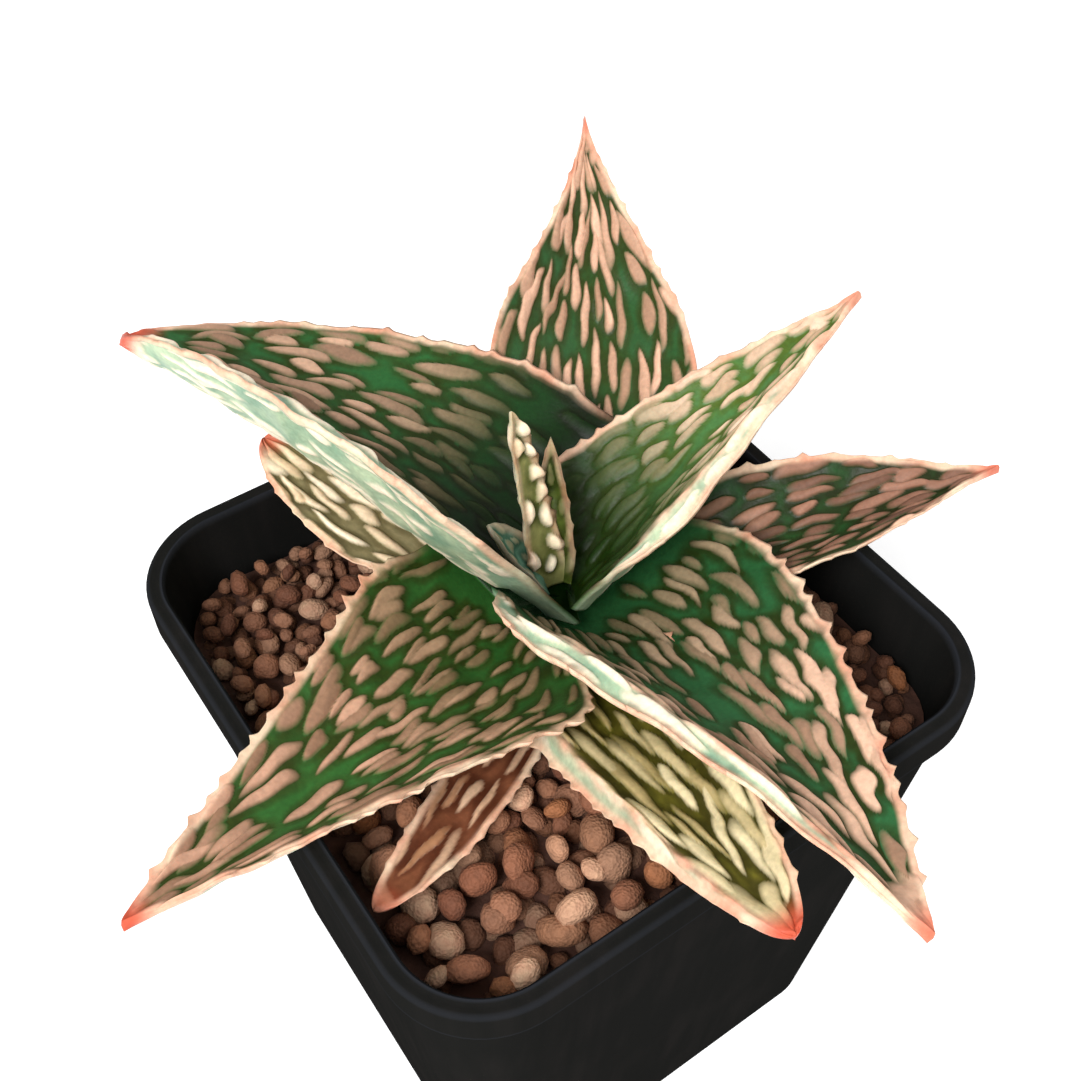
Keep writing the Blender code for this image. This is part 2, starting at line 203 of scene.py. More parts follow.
def potProfile():
    # rows from the underside up the outside, over the rim and down the inside; each holds the height, the
    # inset, the face it is measured from and how much painted highlight lies on it
    top, low = pot["height"], pot["height"] - pot["rimHeight"]
    baseRound, rimRound, groove = pot["baseRound"], pot["rimRound"], pot["groove"]
    inner = pot["rimStep"] + pot["wall"]
    rows = [(0.0, baseRound, "wall", 0.0)]
    rows += [(baseRound * (1 - math.cos(a)), baseRound * (1 - math.sin(a)), "wall", 0.1)
             for a in np.linspace(0.3, math.pi / 2, 4)]
    rows += [(h, 0.0, "wall", 0.0) for h in np.linspace(3, low - 0.5, 16)]
    rows += [(low - 0.05, 0.0, "wall", 0.0), (low, groove, "rim", 0.2), (low + groove, 0.0, "rim", 0.35),
             (low + 0.5, 0.0, "rim", 0.0), (top - 1.2, 0.0, "rim", 0.0)]
    rows += [(top - rimRound * (1 - math.sin(a)), rimRound * (1 - math.cos(a)), "rim", 0.3 * math.sin(2 * a))
             for a in np.linspace(0, math.pi / 2, 6)]
    # a shallow groove runs round the top of the rim, and a low bead lies inside it
    rows += [(top - groove, 1.1, "rim", 0.0), (top - groove, inner - 0.75, "rim", 0.0)]
    rows += [(top - groove * (1 - math.sin(a)), inner - 0.65 + 0.3 * (1 - math.cos(a)), "rim",
              0.5 * math.sin(a)) for a in np.linspace(0.3, math.pi / 2, 3)]
    rows += [(top - 0.4, inner - 0.04, "rim", 0.2), (top - 1.0, inner, "rim", 0.0)]
    rows += [(h, pot["wall"], "wall", 0.0) for h in np.linspace(top - 3, pot["floor"] + 0.8, 14)]
    return rows + [(pot["floor"], pot["wall"] + 0.8, "wall", 0.0)]


def makePot(material):
    rings, wear = [], []
    for height, inset, face, mark in potProfile():
        half, radius = (pot["width"] / 2, pot["topRadius"]) if face == "rim" else potWall(height)
        ring = squareRing(half - inset, max(radius - inset, 1.0), height)
        rings.append(ring)
        wear.append(np.full(len(ring), mark))
    around = len(rings[0])
    points = np.concatenate(rings)
    # the first number of the mask is the painted highlight along the rim's edges
    mask = np.zeros((len(points), 4))
    mask[:, 0] = np.concatenate(wear)
    mask[:, 3] = 1
    faces = ringFaces(len(rings), around)
    faces += [list(range(around))[::-1], list(range((len(rings) - 1) * around, len(rings) * around))]
    piece = makePiece("blackPot", points, faces, material, {"wear": mask})
    drillDrains(piece, material)
    piece.data.set_sharp_from_angle(angle=math.radians(35))
    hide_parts("pot")
    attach(piece, "root")


def drillDrains(piece, material):
    # cuts the drain holes through the floor and keeps the cut mesh
    cutters = []
    for index in range(pot["drains"]):
        angle = 2 * math.pi * (index + 0.5) / pot["drains"]
        centre = pot["drainRing"] * math.cos(angle), pot["drainRing"] * math.sin(angle)
        cutters.append(makeDrain(centre, material))
        modifier = piece.modifiers.new("drain", "BOOLEAN")
        modifier.operation = "DIFFERENCE"
        modifier.object = cutters[-1]
    graph = bpy.context.evaluated_depsgraph_get()
    cutMesh = bpy.data.meshes.new_from_object(piece.evaluated_get(graph))
    piece.modifiers.clear()
    piece.data = cutMesh
    for cutter in cutters:
        bpy.data.objects.remove(cutter)


def makeDrain(centre, material):
    sides = pot["drainSides"]
    angle = np.linspace(0, 2 * math.pi, sides, endpoint=False)
    circle = np.stack([np.cos(angle), np.sin(angle)], 1) * pot["drainDiameter"] / 2 + centre
    ends = (-2.0, pot["floor"] + 2.0)
    points = np.concatenate([np.column_stack([circle, np.full(sides, height)]) for height in ends])
    faces = ringFaces(2, sides) + [list(range(sides))[::-1], list(range(sides, 2 * sides))]
    return makePiece("drainHole", points, faces, material)


# each layer of granules: how many are thrown, the height of its middle over the bed, how near two may lie as
# a share of their radii, and how deep its shade is
granules = dict(sizes=(2.2, 4.2), frontSize=1.6, bedLevel=74.5, seed=5, wallGap=0.4, stemGap=6.0, leafGap=0.2,
                layers=((16000, -0.1, 0.66, 0.8), (9000, 1.5, 0.8, 0.4), (2600, 2.9, 1.0, 0.05)))


def bakedClay():
    # akadama and pumice: soft baked clay, porous, matt and tan; painted shade darkens it to red-brown
    material, tree, shader = newMaterial("bakedClay")
    place = objectPlace(tree)
    sort, shade = maskParts(tree, "tone")[:2]
    patch = noise(tree, place, 900.0, 4.0)
    pore = cells(tree, place, 2600.0)
    kind = addNode(tree, "ShaderNodeValToRGB", Fac=sort)
    stops = kind.color_ramp.elements
    stops[0].position, stops[0].color = 0.0, linearColour("#5c3220")
    stops[1].position, stops[1].color = 1.0, linearColour("#dcae8e")
    for position, code in ((0.3, "#865238"), (0.55, "#a06f54"), (0.72, "#9a5c30"), (0.85, "#ba8a6c")):
        stops.new(position).color = linearColour(code)
    mottled = mixColour(tree, 0.45, kind.outputs["Color"], patch, "OVERLAY")
    # painted shade: granules in the lower layers and away from the front corner are mixed towards dark
    # red-brown
    tree.links.new(mixColour(tree, shade, mottled, "#43240f"), shader.inputs["Base Color"])
    shader.inputs["Roughness"].default_value = 0.82
    addRelief(tree, shader, combine(tree, "ADD", patch, pore), 0.5, 0.0004)
    return material


def unitLump(level):
    # an icosphere's points and faces, used as the start of every granule
    ball = bpy.data.meshes.new("ball")
    work = bmesh.new()
    bmesh.ops.create_icosphere(work, subdivisions=level, radius=1.0)
    work.to_mesh(ball)
    work.free()
    points = np.array([v.co[:] for v in ball.vertices])
    faces = np.array([p.vertices[:] for p in ball.polygons])
    bpy.data.meshes.remove(ball)
    return points, faces


def wornLumps(unit, centres, radii, dice):
    # every granule at once: the unit ball pressed in by three broad waves in random directions and flattened by
    # four facets, then squashed and turned
    count = len(centres)
    wave = dice.normal(size=(count, 3, 3))
    wave *= dice.uniform(1.1, 2.4, (count, 3, 1)) / np.linalg.norm(wave, axis=2, keepdims=True)
    phase = dice.uniform(0, 2 * math.pi, (count, 1, 3))
    swell = np.sin(np.einsum("pk,nwk->npw", unit, wave) + phase).sum(2)
    facet = np.abs(np.einsum("pk,nwk->npw", unit, dice.normal(size=(count, 4, 3)))).max(2)
    length = 1 + 0.11 * swell - 0.2 * np.clip(facet - 0.9, 0, 2)
    shape = np.stack([dice.uniform(0.95, 1.15, count), dice.uniform(0.78, 1.0, count),
                      dice.uniform(0.7, 0.92, count)], 1)
    points = unit[None] * length[..., None] * shape[:, None]
    turn = dice.normal(size=(count, 4)) * np.array([1.0, 0.35, 0.35, 1.0])
    turn /= np.linalg.norm(turn, axis=1, keepdims=True)
    w, x, y, z = turn.T
    spin = np.stack([np.stack([1 - 2 * (y * y + z * z), 2 * (x * y - w * z), 2 * (x * z + w * y)], 1),
                     np.stack([2 * (x * y + w * z), 1 - 2 * (x * x + z * z), 2 * (y * z - w * x)], 1),
                     np.stack([2 * (x * z - w * y), 2 * (y * z + w * x), 1 - 2 * (x * x + y * y)], 1)], 1)
    points = np.einsum("nij,npj->npi", spin, points)
    return points * radii[:, None, None] + centres[:, None]


def toneMask(tones, shade, each):
    mask = np.ones((len(tones), 4))
    mask[:, 0] = tones
    mask[:, 1] = shade
    return np.repeat(mask, each, axis=0)


def shadeAwayFromFront(x, y):
    # painted shade: away from the lit front corner, where the leaves shade the bed, the granules darken
    return 0.55 * smoothStep(-24, 4, x + y)


def leafSamples():
    # points spread over every leaf, in millimetres, for keeping the granules clear of them
    found = []
    for spec in leaves.values():
        along, across = np.meshgrid(np.linspace(0, 0.99, 60), np.linspace(-1, 1, 21), indexing="ij")
        centre, side, lift = leafFrame(spec, along)
        fold = np.radians(spec["fold"] + spec["open"] * along)
        half = halfWidth(spec, along, across)
        cup = half * np.abs(across) ** rosette["cupPower"] * np.sin(fold) - lipDrop(spec, along, across)
        below = spec["thick"] * 0.6 * (1 - across ** 2)
        found.append((centre + side * (half * across * np.cos(fold))[..., None]
                      + lift * (cup - below)[..., None]).reshape(-1, 3))
    return np.concatenate(found)


def makeLooseGranules(dice, material):
    # the largest granules, each in place of a node of the frame; gives their centres and radii
    unit, triangles = unitLump(3)
    taken = []
    for name in sorted(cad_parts):
        if not name.startswith("granule_") or name == "granule_bed":
            continue
        low, high = (np.array(corner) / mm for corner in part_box(name))
        centre = (low + high) / 2
        radius = float((high - low)[:2].mean()) / 2 * 1.08
        points = wornLumps(unit, centre[None], np.array([radius]), dice)[0]
        # the loose granules take the same painted shade by their place
        mask = toneMask(dice.uniform(0.2, 1.0, 1), shadeAwayFromFront(*centre[:2]), len(unit))
        piece = makePiece(name.replace("granule_", "looseGranule"), points, triangles.tolist(), material,
                          {"tone": mask})
        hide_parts(name)
        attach(piece, "root")
        taken.append((*centre, radius))
    return taken


def throwGranules(dice, taken, reach, corner):
    # thrown on layer by layer: within a layer no two crowd each other, and all keep clear of what is taken,
    # of the wall, of the stem and of the leaves; gives each one's centre, radius and shade
    level = granules["bedLevel"]
    blades = leafSamples()
    blades = blades[blades[:, 2] < level + 9]
    chosen = []
    for tries, height, gap, shade in granules["layers"]:
        kept = np.array(taken)
        spots = dice.uniform(-reach, reach, (tries, 2))
        size = dice.uniform(*granules["sizes"], tries)
        grow = 1 + (granules["frontSize"] - 1) * smoothStep(10, 50, -spots.sum(1))
        heights = level + height + dice.uniform(-0.5, 0.5, tries)
        for spot, radius, z in zip(spots, size * grow / 2, heights):
            over = math.hypot(*np.maximum(np.abs(spot) - (reach - corner), 0))
            if over > corner - radius * 0.9 or np.abs(spot).max() > reach - radius * 0.9:
                continue
            if math.hypot(spot[0] - rosette["x"], spot[1] - rosette["y"]) < granules["stemGap"]:
                continue
            if (np.hypot(*(kept[:, :2] - spot).T) < (kept[:, 3] + radius) * gap).any():
                continue
            if (np.linalg.norm(blades - (*spot, z), axis=1) < radius + granules["leafGap"]).any():
                continue
            kept = np.vstack([kept, (*spot, z, radius)])
            chosen.append((*spot, z, radius, shade))
    return np.array(chosen)


def makeGranules(material):
    dice = np.random.default_rng(granules["seed"])
    taken = makeLooseGranules(dice, material)
    half, corner = potWall(granules["bedLevel"])
    reach = half - pot["wall"] - granules["wallGap"]
    chosen = throwGranules(dice, taken, reach, corner)
    x, y, shade = chosen[:, 0], chosen[:, 1], chosen[:, 4]
    unit, triangles = unitLump(2)
    points = wornLumps(unit, chosen[:, :3], chosen[:, 3], dice)
    # none of them reaches through the wall
    limit = reach + 0.3
    points[..., :2] = np.clip(points[..., :2], -limit, limit)
    tones = dice.uniform(0, 1, len(chosen)) ** 0.9
    # painted light makes the granules in the lit front corner paler, and painted shade darkens those away from
    # it
    tones = np.clip(tones + 0.14 * smoothStep(14, 44, -x - y), 0, 1)
    shade = shade + (0.85 - shade) * shadeAwayFromFront(x, y)
    offsets = np.arange(len(chosen))[:, None, None] * len(unit)
    faces = (triangles[None] + offsets).reshape(-1, 3).tolist()
    piece = makePiece("clayGranules", points.reshape(-1, 3), faces, material,
                      {"tone": toneMask(tones, shade, len(unit))})
    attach(piece, "root")
    print("granules", len(chosen), "faces", len(faces))


def shadedBed():
    # the clay below the surface: darkened by painted shade and broken up by the darker gaps between granules
    material, tree, shader = newMaterial("shadedClayBed")
    place = objectPlace(tree)
    depth = combine(tree, "MULTIPLY", cells(tree, place, 330.0), noise(tree, place, 700.0, 4.0))
    tree.links.new(mixColour(tree, depth, "#4a2a1c", "#1a0d07"), shader.inputs["Base Color"])
    shader.inputs["Roughness"].default_value = 0.9
    addRelief(tree, shader, depth, 0.8, 0.001)
    return material


# the rosette grows from the stem at x, y; a leaf starts its drop below the pot's top
rosette = dict(x=3.0, y=3.5, top=pot["height"], cupPower=1.7, lipStart=0.78, edgeThick=0.7)

# how finely a leaf's skin is laid out: the size of a face in millimetres, and the fewest and most rings and
# columns
leafMesh = dict(fineness=0.3, rings=(40, 220), columns=(20, 170), fewestBelow=12, tip=0.9985, seed=100)

# the shapes are those of the CAD leaves: millimetres, and degrees for azimuth, rise, turn, curl, roll, twist,
# fold and open; neck and lip have a value for the left margin and one for the right
leaves = {
    "leaf_heart_tall": dict(azimuth=84, turn=0, rise=67, curl=0, length=24, width=5, thick=2.2, roll=0,
                            twist=30, fold=15, open=0, drop=1.0, reach=0.5, belly=2.4, taper=0.6,
                            neck=(0.9, 0.9), swell=0.2, lip=(0, 0)),
    "leaf_heart_small": dict(azimuth=136, turn=0, rise=56, curl=0, length=12, width=6, thick=1.8, roll=0,
                             twist=0, fold=25, open=0, drop=0.5, reach=1.0, belly=2.4, taper=0.6,
                             neck=(0.8, 0.8), swell=0.2, lip=(0, 0)),
    "leaf_heart_green": dict(azimuth=56, turn=0, rise=66, curl=0, length=19, width=7, thick=2.0, roll=0,
                             twist=0, fold=30, open=0, drop=1.0, reach=1.5, belly=1.8, taper=0.8,
                             neck=(0.8, 0.8), swell=0.2, lip=(0, 0)),
    "leaf_left_high": dict(azimuth=118, turn=15, rise=30, curl=-8, length=59, width=55, thick=3.2,
                           roll=18, twist=25, fold=39, open=-16, drop=2.5, reach=3.0, belly=2.0,
                           taper=0.6, neck=(0.28, 0.9), swell=0.3, lip=(2.5, 0)),
    "leaf_right_high": dict(azimuth=-1, turn=4, rise=38, curl=-16, length=52, width=29, thick=3.0,
                            roll=-18, twist=-4, fold=30, open=-2, drop=3.0, reach=3.0, belly=1.5,
                            taper=1.0, neck=(0.7, 0.7), swell=0.22, lip=(0, 3.0)),
    "leaf_back": dict(azimuth=45.0, turn=14.0, rise=18.0, curl=20.0, length=70.0, width=64.0, thick=3.6,
                      roll=9.0, twist=1.0, fold=23.0, open=3.0, drop=8.6, reach=6.0, belly=1.3, taper=1.3,
                      neck=(0.1, 0.3), swell=0.62, lip=(0, 0)),
    "leaf_front_right": dict(azimuth=-85, turn=-9, rise=22, curl=-20, length=61, width=49, thick=3.4,
                             roll=-17, twist=-14, fold=32, open=-4, drop=4.5, reach=3, belly=1.6,
                             taper=1.0, neck=(0.8, 0.55), swell=0.22, lip=(0, 3.5)),
    "leaf_front_left": dict(azimuth=-160, turn=-8, rise=14, curl=1, length=63, width=48, thick=3.6,
                            roll=-3, twist=15, fold=20, open=9, drop=5.5, reach=4, belly=0.8, taper=0.82,
                            neck=(0.3, 0.74), swell=0.25, lip=(0, 0)),
    "leaf_right_low": dict(azimuth=-23, turn=1, rise=18, curl=-4, length=55, width=47, thick=3.2, roll=3,
                           twist=-8, fold=26, open=5, drop=7.5, reach=5.0, belly=1.3, taper=1.1,
                           neck=(0.4, 0.08), swell=0.8, lip=(0, 0)),
    "leaf_left_low": dict(azimuth=120, turn=-6, rise=22, curl=-9, length=40, width=26, thick=3.2, roll=2,
                          twist=-4, fold=18, open=-3, drop=6.5, reach=5.0, belly=2.2, taper=0.6,
                          neck=(0.15, 0.6), swell=0.6, lip=(0, 0)),
    "leaf_front": dict(azimuth=-103, turn=8, rise=19, curl=-6, length=52, width=25, thick=3.0, roll=6,
                       twist=-8, fold=17, open=2, drop=8.0, reach=5.0, belly=1.0, taper=0.5,
                       neck=(0.6, 0.6), swell=0.22, lip=(0, 3.0)),
    "leaf_dried": dict(azimuth=-139, turn=-23, rise=4, curl=6, length=41, width=10, thick=1.6, roll=0,
                       twist=-2, fold=10, open=-2, drop=8.5, reach=6.0, belly=2.4, taper=0.5,
                       neck=(0.8, 0.8), swell=0.22, lip=(0, 0)),
}

# what grows on each leaf: bump length and width, gap between rows, height (rise), how much longer the bumps
# get towards the tip (stretch), tooth size, and the leaf's colours, which hold painted light and shade as well
# as
# its own colour: leaves in light are given paler colours and leaves in shade darker ones, and deep is the
# painted shade in the gaps between bumps; heart is how much painted shade darkens its base, and tip how red its
# tip is. Some leaves have clasp and tuck, how far the left and right margins of the base turn back or down,
# bare, the share of the length before the teeth start, and edge, how horny the margin is
skins = {
    "leaf_heart_tall": dict(bump=(2.8, 2.1), row=2.0, rise=1.1, stretch=0, tooth=0.9, green="#80804c",
                            deep="#484e22", cream="#fbecd0", rose="#e6cea6", heart=0.0, tip=0.0,
                            edge=0.45),
    "leaf_heart_small": dict(bump=(2.4, 1.1), row=2.0, rise=0.2, stretch=0, tooth=0.3, green="#64907a",
                             deep="#3d624e", cream="#8f9478", rose="#7a785a", heart=0.0, tip=0.0,
                             edge=0.4),
    "leaf_heart_green": dict(bump=(3.0, 1.1), row=2.1, rise=0.3, stretch=0, tooth=0.4, green="#44501c",
                             deep="#28330c", cream="#76764c", rose="#5f603a", heart=0.0, tip=0.0,
                             edge=0.35),
    "leaf_left_high": dict(clasp=(6.5, 0), bump=(6.2, 1.75), row=2.25, rise=0.6, stretch=0.1, tooth=0.8,
                           green="#2a5e2e", deep="#2c390d", cream="#d2aa8e", rose="#8f705a", heart=1.0,
                           tip=1.0),
    "leaf_right_high": dict(bump=(5.6, 1.6), row=2.2, rise=0.55, stretch=0.1, tooth=0.6, green="#4b7840",
                            deep="#4c6222", cream="#eecbb0", rose="#b8997a", heart=1.0, tip=0.4),
    "leaf_back": dict(bare=0.5, tuck=(3.5, 0), bump=(7.8, 1.7), row=2.3, rise=0.55, stretch=0.2,
                      tooth=0.7, green="#2a5228", deep="#2c390e", cream="#e0b296", rose="#a88268",
                      heart=0.3, tip=0.6),
    "leaf_front_right": dict(bump=(6.0, 1.8), row=2.3, rise=0.62, stretch=0.9, tooth=1.4,
                             green="#2a5f35", deep="#26340c", cream="#e4ba9e", rose="#9a7860", heart=0.4,
                             tip=0.7),
    "leaf_front_left": dict(bump=(5.8, 1.9), row=2.25, rise=0.6, stretch=0.4, tooth=1.3, green="#2f6028",
                            deep="#2e3c10", cream="#c89a80", rose="#8c6a52", heart=0.3, tip=1.0),
    "leaf_right_low": dict(bump=(5.2, 1.8), row=2.05, rise=0.55, stretch=0.2, tooth=0.8, green="#214620",
                           deep="#20280c", cream="#a0745f", rose="#5e4234", heart=0.3, tip=0.8),
    "leaf_left_low": dict(bump=(6.6, 2.4), row=2.4, rise=0.65, stretch=0, tooth=0.6, green="#958a66",
                          deep="#6a6040", cream="#ffeed4", rose="#eacca8", heart=0.0, tip=0.8),
    "leaf_front": dict(bump=(8.4, 1.7), row=2.1, rise=0.6, stretch=0.9, tooth=0.8, green="#66601f",
                       deep="#3c370e", cream="#e6d6ae", rose="#a8925f", heart=0.0, tip=1.0),
    "leaf_dried": dict(bump=(6.0, 1.3), row=2.2, rise=0.3, stretch=0.4, tooth=0.6, green="#7e4c34",
                       deep="#552c1c", cream="#dcb89a", rose="#a0704e", heart=0.0, tip=0.6),
}


def leafSkin(name, skin):
    # living aloe skin: waxy and satin, with raised pale tubercles, a horny toothed edge and a red tip
    material, tree, shader = newMaterial(name)
    place = objectPlace(tree)
    bump, edge, under = maskParts(tree, "pattern")
    tip, heart, tone = maskParts(tree, "where")
    fine = noise(tree, place, 1500.0, 3.0)
    spread = mapRange(tree, noise(tree, place, 190.0, 3.0), From_Min=0.35, From_Max=0.65)

    def blend(factor, first, second, kind="MIX"):
        return mixColour(tree, factor, first, second, kind)

    # open flesh is a clear green, and the narrow gaps between bumps are darkened to olive as painted shade
    flesh = blend(combine(tree, "MULTIPLY", tone, spread, clamp=True), skin["green"], skin["deep"])
    flesh = blend(tone, flesh, skin["deep"])
    flesh = blend(under, flesh, blend(spread, "#7f9f84", "#b3c4a2"))
    raised = blend(tone, skin["rose"], skin["cream"])
    raised = blend(under, raised, "#f0e2c8")
    # painted shade: towards the heart the bumps are muted to the leaf's green
    muted = blend(heart, raised, skin["green"])
    colour = blend(mapRange(tree, bump, From_Min=0.04, From_Max=0.62), flesh, muted)
    # painted shade darkens the leaf towards the heart; the leaf is horny at its margin and red at its tip
    colour = blend(1.0, colour, blend(heart, "#ffffff", "#666b3a"), "MULTIPLY")
    colour = blend(edge, colour, blend(spread, "#e0a084", "#f0d2b4"))
    colour = blend(tip, colour, "#c4553c")
    speckle = mapRange(tree, fine, From_Min=0.3, From_Max=0.7, To_Min=0.86, To_Max=1.1)
    colour = blend(1.0, colour, speckle, "MULTIPLY")
    tree.links.new(colour, shader.inputs["Base Color"])
    rough = mapRange(tree, bump, To_Min=0.4, To_Max=0.55)
    tree.links.new(rough, shader.inputs["Roughness"])
    shader.inputs["Subsurface Weight"].default_value = 0.06
    shader.inputs["Subsurface Scale"].default_value = 0.0012
    shader.inputs["IOR"].default_value = 1.42
    shader.inputs["Specular IOR Level"].default_value = 0.22
    addRelief(tree, shader, fine, 0.25, 0.0002)
    return material


def heading(spec, along):
    # the midrib's direction at a share of its length
    azimuth = np.radians(spec["azimuth"] + spec["turn"] * along)
    rise = np.radians(spec["rise"] + spec["curl"] * along)
    return np.stack([np.cos(rise) * np.cos(azimuth), np.cos(rise) * np.sin(azimuth), np.sin(rise)], -1)


def halfWidth(spec, along, across):
    # half the leaf's width on the side that across lies on
    neck = np.where(across < 0, *spec["neck"])
    neck = neck + (1 - neck) * smoothStep(0, spec["swell"], along)
    return spec["width"] / 2 * neck * (1 - along ** spec["belly"]) ** spec["taper"]


def lipDrop(spec, along, across):
    # how far the blade has turned down again outside its ridge
    deep = np.where(across < 0, *spec["lip"])
    room = np.minimum(1.0, 2.6 * halfWidth(spec, along, across) / spec["width"])
    return deep * smoothStep(rosette["lipStart"], 1, np.abs(across)) * smoothStep(0.05, 0.3, along) * room


def leafFrame(spec, along):
    # the midrib's points, and the sideways and upward directions of the blade at each
    steps = 800
    many = np.linspace(0, 1, steps + 1)
    middle = (many[1:] + many[:-1]) / 2
    path = np.vstack([np.zeros(3), np.cumsum(heading(spec, middle) * spec["length"] / steps, axis=0)])
    first = math.radians(spec["azimuth"])
    start = np.array([rosette["x"] + spec["reach"] * math.cos(first),
                      rosette["y"] + spec["reach"] * math.sin(first), rosette["top"] - spec["drop"]])
    centre = start + np.stack([np.interp(along, many, path[:, k]) for k in range(3)], -1)
    azimuth = np.radians(spec["azimuth"] + spec["turn"] * along)
    right = np.stack([np.sin(azimuth), -np.cos(azimuth), 0 * azimuth], -1)
    up = np.cross(right, heading(spec, along))
    roll = np.radians(spec["roll"] + spec["twist"] * along)[..., None]
    return centre, right * np.cos(roll) - up * np.sin(roll), up * np.cos(roll) + right * np.sin(roll)


def scatterBumps(spec, skin, dice, under):
    # rows of pill shapes laid along the leaf: staggered, jittered, and crowding together towards the tip;
    # each has its middle, lane, length, width, turn, height and shade
    length, width = skin["bump"]
    gap = skin["row"] * (1.25 if under else 1.0)
    widest = spec["width"] / 2
    rows = max(2, int(round(2 * widest / gap)))
    bumps = []
    for index in range(rows):
        lane = -1 + (2 * index + 1) / rows
        start = dice.uniform(0, length) + 0.6
        while start < spec["length"] - 1.2:
            share = start / spec["length"]
            crowd = float(halfWidth(spec, np.array(share), np.array(lane))) / widest
            # where the leaf is narrow, only every second or third row goes on
            keep = 1 if crowd > 0.55 else 2 if crowd > 0.26 else 3
            size = length * dice.uniform(0.55, 1.45) * (1 + skin["stretch"] * share)
            if (index % keep == keep // 2 or keep == 1) and dice.uniform() < 0.93:
                bumps.append((start + size / 2, lane + dice.uniform(-0.75, 0.75) / rows,
                              size, width * dice.uniform(0.6, 1.2) * min(1.0, 0.5 + crowd * keep * 0.5),
                              dice.uniform(-10, 10), dice.uniform(0.65, 1.1), dice.uniform(0, 1) ** 1.2))
            start += size + dice.uniform(0.1, 1.5)
    return np.array(bumps)


def bumpField(spec, bumps, along, across):
    # height and tone of the highest bump at each point: a pill whose height is one minus the distance from
    # its middle, rounded; off the bumps the tone is how closely they crowd round, which paints shade in the
    # gaps
    down, aside = along * spec["length"], across * halfWidth(spec, along, across)
    # a slight warp keeps the rows from running straight
    down, aside = (down + 0.4 * np.sin(1.9 * aside + 0.6 * down),
                   aside + 0.09 * np.sin(1.3 * down + 0.8 * aside))
    height, tone, crowd = np.zeros_like(down), np.zeros_like(down), np.zeros_like(down)
    step = 1e-3
    after, before = np.clip(along + step, 0, 1), np.clip(along - step, 0, 1)
    slope = halfWidth(spec, after, across) - halfWidth(spec, before, across)
    slope = across * slope / (2 * step * spec["length"])
    for centre, lane, size, wide, turn, rise, shade in bumps:
        share = np.array(min(centre / spec["length"], 0.999))
        middle = lane * float(halfWidth(spec, share, np.array(lane)))
        near = (np.abs(down - centre) < size) & (np.abs(aside - middle) < size)
        if not near.any():
            continue
        ahead, beside = down[near] - centre, aside[near] - middle
        tilt = np.arctan(slope[near]) + math.radians(turn)
        x = ahead * np.cos(tilt) + beside * np.sin(tilt)
        y = -ahead * np.sin(tilt) + beside * np.cos(tilt)
        # one end is blunter than the other
        y = y * (1 + 0.35 * x / size)
        distance = np.abs(2 * x / size) ** 2.4 + np.abs(2 * y / wide) ** 2
        dome = np.clip(1 - distance, 0, 1) ** 0.7 * rise
        old = height[near]
        better = dome > old
        height[near] = np.where(better, dome, old)
        tone[near] = np.where(better, shade, tone[near])
        # the crowding of neighbours is the painted shade between bumps
        gap = np.abs(2 * x / (size + 1.2)) ** 2.4 + np.abs(2 * y / (wide + 1.7)) ** 2
        crowd[near] += np.clip(1.25 - gap, 0, 1)
    return height, np.where(height > 0, tone, np.clip(crowd * 0.75, 0, 1))


def toothLine(spec, skin, dice, along):
    # teeth along one margin: short forward-leaning spikes with uneven gaps
    down = along * spec["length"]
    out = np.zeros_like(down)
    place = dice.uniform(1, 3)
    while place < spec["length"] * 0.93:
        size = skin["tooth"] * dice.uniform(0.35, 1.35) * (1 - 0.5 * place / spec["length"])
        base = dice.uniform(0.7, 1.3)
        lean = (down - place) / base
        rise = np.where(lean < 0, np.clip(1 + lean * 0.75, 0, 1), np.clip(1 - lean * 1.6, 0, 1))
        out = np.maximum(out, rise ** 1.3 * size)
        place += dice.uniform(1.6, 4.2)
    return out


def leafGrid(spec):
    # shares along and across the leaf for every point of its skin, ring after ring from the base to the tip;
    # a ring runs over the upper side and back along the underside
    count = int(np.clip(spec["length"] / leafMesh["fineness"], *leafMesh["rings"]))
    columns = int(np.clip(spec["width"] / leafMesh["fineness"], *leafMesh["columns"]))
    below = max(leafMesh["fewestBelow"], columns * 3 // 5)
    spine = 1 - (1 - np.linspace(0, 1, count + 1)[:-1]) ** 1.08
    spine = np.append(spine, leafMesh["tip"])
    top = np.linspace(-1, 1, columns + 1)
    bottom = np.linspace(1, -1, below + 1)[1:-1]
    ring = np.concatenate([top, bottom])
    isUnder = np.concatenate([np.zeros(len(top)), np.ones(len(bottom))])
    shape = (len(spine), len(ring))
    return (np.broadcast_to(spine[:, None], shape).copy(), np.broadcast_to(ring, shape).copy(),
            np.broadcast_to(isUnder, shape))


